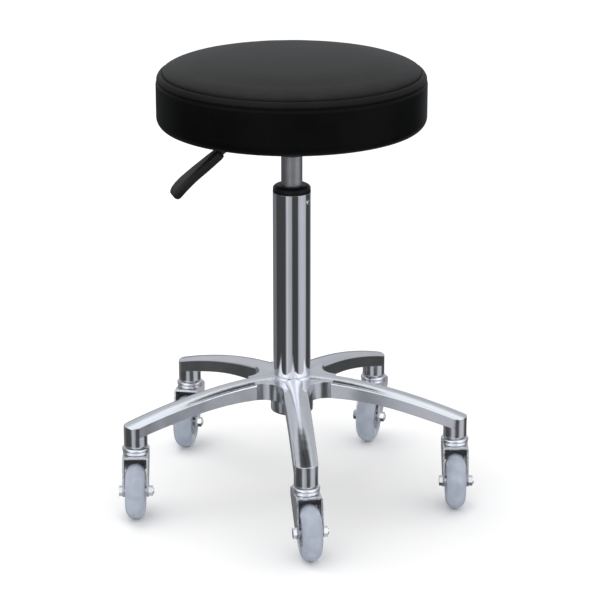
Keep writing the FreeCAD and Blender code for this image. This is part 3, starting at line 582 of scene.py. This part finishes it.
def gather(line, points):
    """Sinks the two sewn seams and draws fine gathers into the vinyl beside them."""
    turn = np.arange(SEGMENTS) * 2 * math.pi / SEGMENTS
    waves = np.zeros(SEGMENTS)
    for _ in range(GATHER_WAVES):
        count = RANDOM.randint(34, 120)
        waves += RANDOM.uniform(0.3, 1.0) * np.cos(count * turn + RANDOM.uniform(0, 2 * math.pi))
    for ring, (radius, height) in enumerate(line):
        before = line[max(ring - 1, 0)]
        after = line[min(ring + 1, len(line) - 1)]
        along = Vector((after[0] - before[0], after[1] - before[1])).normalized()
        normal = Vector((-along.y, along.x))
        reach = min(math.hypot(radius - seam[0], height - seam[1])
                    for seam in (UPPER_SEAM, LOWER_SEAM))
        sink = SEAM_DEPTH * math.exp(-(reach / SEAM_WIDTH) ** 2)
        ripple = GATHER_HEIGHT * math.exp(-(reach / GATHER_REACH) ** 2) * waves
        push = ripple - sink
        points[ring, :, 0] += push * normal.x * np.cos(turn)
        points[ring, :, 1] += push * normal.x * np.sin(turn)
        points[ring, :, 2] += push * normal.y
    return points


def make_cushion():
    """Stuffed seat: crowned cover with its two seams, wrapped round the board."""
    line = cover_line()
    points = ring_points(line)
    points = swell(points, *swelling(line))
    points = gather(line, points)
    recess = ring_points([(HEM_RADIUS, BOARD_LOW.z), (BOARD_RADIUS, BOARD_LOW.z),
                          (BOARD_RADIUS, BOARD_HIGH.z), (BOARD_RADIUS - 2 * MM, BOARD_HIGH.z),
                          (HEM_RADIUS / 2, BOARD_HIGH.z)])
    mesh = ring_mesh("seat_cushion", np.concatenate([points, recess]))
    cushion = new_object("seat_cushion", mesh)
    paint(cushion, MATERIALS["black_vinyl"])
    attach(cushion, "seat")
    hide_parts("cover_top", "seam_band", "cover_side", "seat_foam")


def make_stitches():
    """Lock stitches along both seams, each a short tapered length of thread."""
    length, thickness, count = 3.2 * MM, 0.32 * MM, 236
    taper = ((-0.5, 0.35), (-0.38, 0.85), (0.0, 1.0), (0.38, 0.85), (0.5, 0.35))
    upper_row = (UPPER_SEAM[0] - 1.36 * MM, UPPER_SEAM[1] - 1.13 * MM, 50.0)
    lower_row = (LOWER_SEAM[0] - 1.75 * MM, LOWER_SEAM[1] + 0.1 * MM, 8.0)
    maker = bmesh.new()
    for radius, height, tilt in (upper_row, lower_row):
        for index in range(count):
            angle = 2 * math.pi * (index + RANDOM.uniform(-0.04, 0.04)) / count
            place = (Matrix.Rotation(angle, 4, "Z") @ Matrix.Translation((radius, 0, height))
                     @ Matrix.Rotation(math.radians(90 - tilt), 4, "Y"))
            loft(maker, [
                [place @ Vector((thickness * width * math.cos(turn), share * length,
                                 thickness * width * math.sin(turn))) for turn in HEXAGON]
                for share, width in taper])
    new_piece("seat_stitches", maker, "seat", thread())


def make_dust_cover():
    """Thin cloth under the board, pulled into shallow ripples between its staples."""
    low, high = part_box("dust_cover")
    radius = high.x
    spokes, rings, staples = 288, 30, 24
    hole, ripple_height, flat_share, thickness = 4 * MM, 0.35 * MM, 0.78, 0.5 * MM
    maker = bmesh.new()
    grid = []
    for ring in range(rings + 1):
        reach = hole + (radius - hole) * ring / rings
        outside = max(0.0, (reach - flat_share * radius) / ((1 - flat_share) * radius))
        row = []
        for spoke in range(spokes):
            angle = 2 * math.pi * spoke / spokes
            ripple = ripple_height * outside * (1 - math.cos(staples * angle)) / 2
            row.append(maker.verts.new((reach * math.cos(angle), reach * math.sin(angle),
                                        low.z + thickness / 2 - ripple)))
        grid.append(row)
    for inner, outer in zip(grid, grid[1:]):
        for spoke in range(spokes):
            following = (spoke + 1) % spokes
            maker.faces.new((inner[spoke], inner[following], outer[following], outer[spoke]))
    cloth = new_piece("seat_dust_cloth", maker, "seat",
                      MATERIALS["black_cambric"])
    skin = cloth.modifiers.new("skin", "SOLIDIFY")
    skin.thickness = thickness
    skin.offset = -1.0
    cloth.data = evaluated_mesh(cloth)
    cloth.modifiers.clear()
    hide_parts("dust_cover")
    make_staples(radius - 5 * MM, low.z, staples)


def make_staples(radius, height, count):
    """Round-backed wire staples that hold the cloth and the cover's hem."""
    wire, half = 0.35 * MM, 4.5 * MM
    maker = bmesh.new()
    path = [(-half, 0.9), (-half, 0.3), (-half + 0.5 * MM, -0.25), (half - 0.5 * MM, -0.25),
            (half, 0.3), (half, 0.9)]
    for index in range(count):
        angle = 2 * math.pi * index / count + RANDOM.uniform(-0.02, 0.02)
        place = Matrix.Rotation(angle, 4, "Z") @ Matrix.Translation((radius, 0, height))
        sections = []
        for across, up in path:
            flat = 0.0 if up > 0.2 else 1.0
            sections.append([place @ Vector((
                wire * math.cos(turn), across + (1 - flat) * wire * math.sin(turn),
                up * MM + flat * wire * math.sin(turn))) for turn in HEXAGON])
        loft(maker, sections)
    new_piece("dust_cloth_staples", maker, "seat", MATERIALS["spring_steel"])


# --- lever handle and fork webs ----------------------------------------------------------

# Handle from its root to its tip, in millimetres: reach from the column's axis, height,
# droop in degrees, width and thickness.
PADDLE = (
    (94.5, 470.2, 37, 12.6, 11.6), (98.0, 467.5, 37, 16.0, 13.6), (107.0, 460.7, 37, 20.0, 13.4),
    (116.0, 453.8, 37, 23.4, 13.0), (125.0, 447.0, 37, 26.4, 12.6), (134.0, 440.0, 38, 28.8, 12.0),
    (142.0, 433.2, 42, 31.0, 12.2), (149.0, 426.4, 48, 32.0, 12.0), (153.0, 421.6, 53, 32.0, 11.4),
    (155.4, 418.2, 57, 30.4, 10.0), (156.6, 416.2, 60, 27.0, 7.6), (157.1, 415.3, 60, 22.0, 4.0),
)
# Fork web's outline, in millimetres: distance from the swivel's axis towards the wheel, and
# height. Its lower edge, below FORK_WEB_EDGE, rises in an arch towards the middle.
FORK_WEB = ((-18.9, 80.5), (-18.9, 70.2), (-11.6, 63.3), (-9.9, 59.4), (-10.3, 51.5),
            (-8.0, 51.5), (-7.6, 60.0), (-9.5, 64.6), (-16.5, 71.2), (-16.5, 80.5))
FORK_WEB_HALF = 14.6
FORK_WEB_STEPS = 12
FORK_WEB_ARCH = 1.6
FORK_WEB_EDGE = 52.0


def joint_facts(name):
    """Position and axis of a joint in the record."""
    joint = next(joint for joint in frame["record"]["behaviour"]["joints"] if joint["name"] == name)
    return Vector(joint["pos_m"]), Vector(joint["axis"])


def make_paddle():
    """Drooping moulded handle: crowned faces, rolled edges and a rounded tip."""
    across = joint_facts("lever_lift")[1].normalized()
    outward = across.cross(Vector((0.0, 0.0, 1.0)))
    outward *= -1.0 if outward.x > 0 else 1.0
    points, side_power, face_power = 32, 0.34, 0.42
    maker = bmesh.new()
    sections = []
    for reach, height, droop, width, thickness in PADDLE:
        lean = math.radians(droop)
        normal = outward * math.sin(lean) + Vector((0.0, 0.0, math.cos(lean)))
        centre = outward * reach * MM + Vector((0.0, 0.0, height * MM))
        section = []
        for index in range(points):
            turn = 2 * math.pi * index / points
            side = math.copysign(abs(math.cos(turn)) ** side_power, math.cos(turn))
            face = math.copysign(abs(math.sin(turn)) ** face_power, math.sin(turn))
            section.append(centre + across * side * width / 2 * MM
                           + normal * face * thickness / 2 * MM)
        sections.append(section)
    loft(maker, sections)
    paddle = new_piece("lever_handle", maker, "lever", MATERIALS["black_handle"])
    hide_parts("lever_paddle")


def make_fork_webs():
    """Pressed web that closes each fork behind its wheel, slightly arched along its edge."""
    material = dull_zinc()
    for number in range(1, 6):
        swivel = joint_facts("caster_swivel_%d" % number)[0]
        outward = joint_facts("wheel_spin_%d" % number)[0] - swivel
        outward.z = 0.0
        outward.normalize()
        across = Vector((0.0, 0.0, 1.0)).cross(outward)
        middle = Vector((swivel.x, swivel.y, 0.0))
        maker = bmesh.new()
        sections = []
        for step in range(FORK_WEB_STEPS + 1):
            share = 2 * step / FORK_WEB_STEPS - 1
            arch = FORK_WEB_ARCH * (1 - share ** 2)
            place = middle + across * FORK_WEB_HALF * share * MM
            section = []
            for reach, height in FORK_WEB:
                rise = arch if height < FORK_WEB_EDGE else 0.0
                up = Vector((0.0, 0.0, (height + rise) * MM))
                section.append(place + outward * reach * MM + up)
            sections.append(section)
        loft(maker, sections)
        web = new_piece("fork_web_%d" % number, maker, "fork_%d" % number, material)
        web.data.shade_flat()


make_cushion()
make_stitches()
make_dust_cover()
make_paddle()
make_fork_webs()

# --- studio ------------------------------------------------------------------------------

CAMERA_DISTANCE = 3.000
CAMERA_HEIGHT = 1.243
CAMERA_OFFSET = 0.0107
CAMERA_PITCH = 18.11
CAMERA_TURN = -4.72
CAMERA_LENS = 142.97
FLOOR_HALF = 14.0
DOME_RADIUS = 9.0

# Brightness of the room seen in the metal, by direction round the stool: degrees from the
# camera's direction, positive to the camera's right.
LOW_ROOM = (
    (-180, 0.18), (-112, 0.18), (-104, 0.06), (-42, 0.060), (-36, 0.20), (-30, 0.66),
    (-23, 0.50), (-6, 0.42), (-1, 0.36), (4, 0.060), (36, 0.060), (43, 0.46), (60, 0.56),
    (90, 0.50), (98, 0.06), (140, 0.065), (150, 0.40), (170, 0.45), (180, 0.18),
)
HIGH_ROOM = (
    (-180, 0.54), (-150, 0.56), (-120, 0.34), (-95, 0.30), (-70, 0.95), (-40, 1.40),
    (-15, 1.00), (10, 0.85), (40, 1.45), (75, 1.20), (100, 0.60), (125, 0.50), (150, 0.48),
    (180, 0.54),
)

CEILING = (1.00, 1.05, 1.09, 1.0)
# Heights between which the low room turns into the high one, and that into the ceiling, as
# shares of the dome's radius.
WALL_BLEND = (-0.02, 0.12)
CEILING_BLEND = (0.66, 0.88)


def make_camera():
    """Long lens in front of the stool, looking down on it."""
    data = bpy.data.cameras.new("camera")
    data.lens = CAMERA_LENS
    data.sensor_width = 36.0
    camera = bpy.data.objects.new("camera", data)
    turn = math.radians(CAMERA_TURN)
    camera.location = Matrix.Rotation(turn, 3, "Z") @ Vector(
        (CAMERA_OFFSET, -CAMERA_DISTANCE, CAMERA_HEIGHT))
    camera.rotation_euler = (math.radians(90.0 - CAMERA_PITCH), 0.0, turn)
    bpy.context.scene.collection.objects.link(camera)
    bpy.context.scene.camera = camera


def make_floor():
    """Plain pale floor that the metal doesn't mirror."""
    material, tree, shader, place = new_material("studio_floor")
    grain = noise(tree, place, 3.0, 2.0)
    finish_surface(tree, shader, tint(tree, grain, (0.92, 0.92, 0.92), (0.93, 0.93, 0.93)),
                   Roughness=0.9, Specular_IOR_Level=0.0)
    size = FLOOR_HALF
    mesh = bpy.data.meshes.new("studio_floor")
    mesh.from_pydata([(-size, -size, 0), (size, -size, 0), (size, size, 0), (-size, size, 0)],
                     [], [(0, 1, 2, 3)])
    floor = new_object("studio_floor", mesh)
    floor.data.materials.append(material)
    floor.visible_glossy = False


def ring_of_light(tree, azimuth, levels):
    """Room brightness round the stool, as a ramp over a full turn."""
    ramp = tree.nodes.new("ShaderNodeValToRGB")
    elements = ramp.color_ramp.elements
    for number, (degrees, level) in enumerate(levels):
        position = (degrees + 180) / 360
        if number < 2:
            element = elements[number]
            element.position = position
        else:
            element = elements.new(position)
        blue = 1.0 + 0.14 * min(level, 0.5)
        element.color = (level * 0.97, level * 0.99, level * blue, 1.0)
    tree.links.new(azimuth, ramp.inputs["Fac"])
    return ramp.outputs["Color"]


def make_room():
    """Dome with dark walls and bright panels that only mirrored rays see."""
    material = bpy.data.materials.new("studio_room")
    material.use_nodes = True
    tree = material.node_tree
    tree.nodes.clear()
    place = tree.nodes.new("ShaderNodeTexCoord").outputs["Object"]
    turned = tree.nodes.new("ShaderNodeMapping")
    turned.inputs["Rotation"].default_value = (0.0, 0.0, math.radians(90.0 - CAMERA_TURN))
    tree.links.new(place, turned.inputs["Vector"])
    parts = tree.nodes.new("ShaderNodeSeparateXYZ")
    tree.links.new(turned.outputs["Vector"], parts.inputs["Vector"])
    angle = tree.nodes.new("ShaderNodeMath")
    angle.operation = "ARCTAN2"
    tree.links.new(parts.outputs["Y"], angle.inputs[0])
    tree.links.new(parts.outputs["X"], angle.inputs[1])
    azimuth = spread(tree, angle.outputs["Value"], 0.0, 1.0, -math.pi, math.pi)
    height, overhead = (
        spread(tree, parts.outputs["Z"], 0.0, 1.0, low * DOME_RADIUS, high * DOME_RADIUS)
        for low, high in (WALL_BLEND, CEILING_BLEND))
    walls = blended(tree, height, ring_of_light(tree, azimuth, LOW_ROOM),
                    ring_of_light(tree, azimuth, HIGH_ROOM))
    ceiling = tree.nodes.new("ShaderNodeMix")
    ceiling.data_type = "RGBA"
    tree.links.new(overhead, ceiling.inputs["Factor"])
    tree.links.new(walls, ceiling.inputs["A"])
    ceiling.inputs["B"].default_value = CEILING
    glow = tree.nodes.new("ShaderNodeEmission")
    output = tree.nodes.new("ShaderNodeOutputMaterial")
    tree.links.new(ceiling.outputs["Result"], glow.inputs["Color"])
    tree.links.new(glow.outputs["Emission"], output.inputs["Surface"])
    material.cycles.emission_sampling = "NONE"
    maker = bmesh.new()
    bmesh.ops.create_uvsphere(maker, u_segments=64, v_segments=32, radius=DOME_RADIUS)
    mesh = bpy.data.meshes.new("studio_room")
    maker.to_mesh(mesh)
    maker.free()
    room = new_object("studio_room", mesh)
    room.data.materials.append(material)
    room.visible_camera = False
    room.visible_diffuse = False
    room.visible_shadow = False
    room.visible_transmission = False
    room.visible_volume_scatter = False


def make_light(name, position, size, power):
    """Large soft area light aimed at the stool; the metal sees the room instead of it."""
    data = bpy.data.lights.new(name, "AREA")
    data.shape = "RECTANGLE"
    data.size = data.size_y = size
    data.energy = power
    light = bpy.data.objects.new(name, data)
    light.location = position
    aim = Vector((0.0, 0.0, 0.3)) - Vector(position)
    light.rotation_euler = aim.to_track_quat("-Z", "Y").to_euler()
    light.visible_glossy = False
    bpy.context.scene.collection.objects.link(light)


def make_world():
    """Even white room light."""
    world = bpy.data.worlds.new("studio")
    world.use_nodes = True
    background = world.node_tree.nodes["Background"]
    background.inputs["Color"].default_value = (1.0, 1.0, 1.0, 1.0)
    background.inputs["Strength"].default_value = 1.10
    bpy.context.scene.world = world


make_camera()
make_floor()
make_room()
make_world()
make_light("overhead", (-0.5, 0.4, 3.4), 2.0, 26.0)
bpy.context.scene.view_settings.view_transform = "Standard"
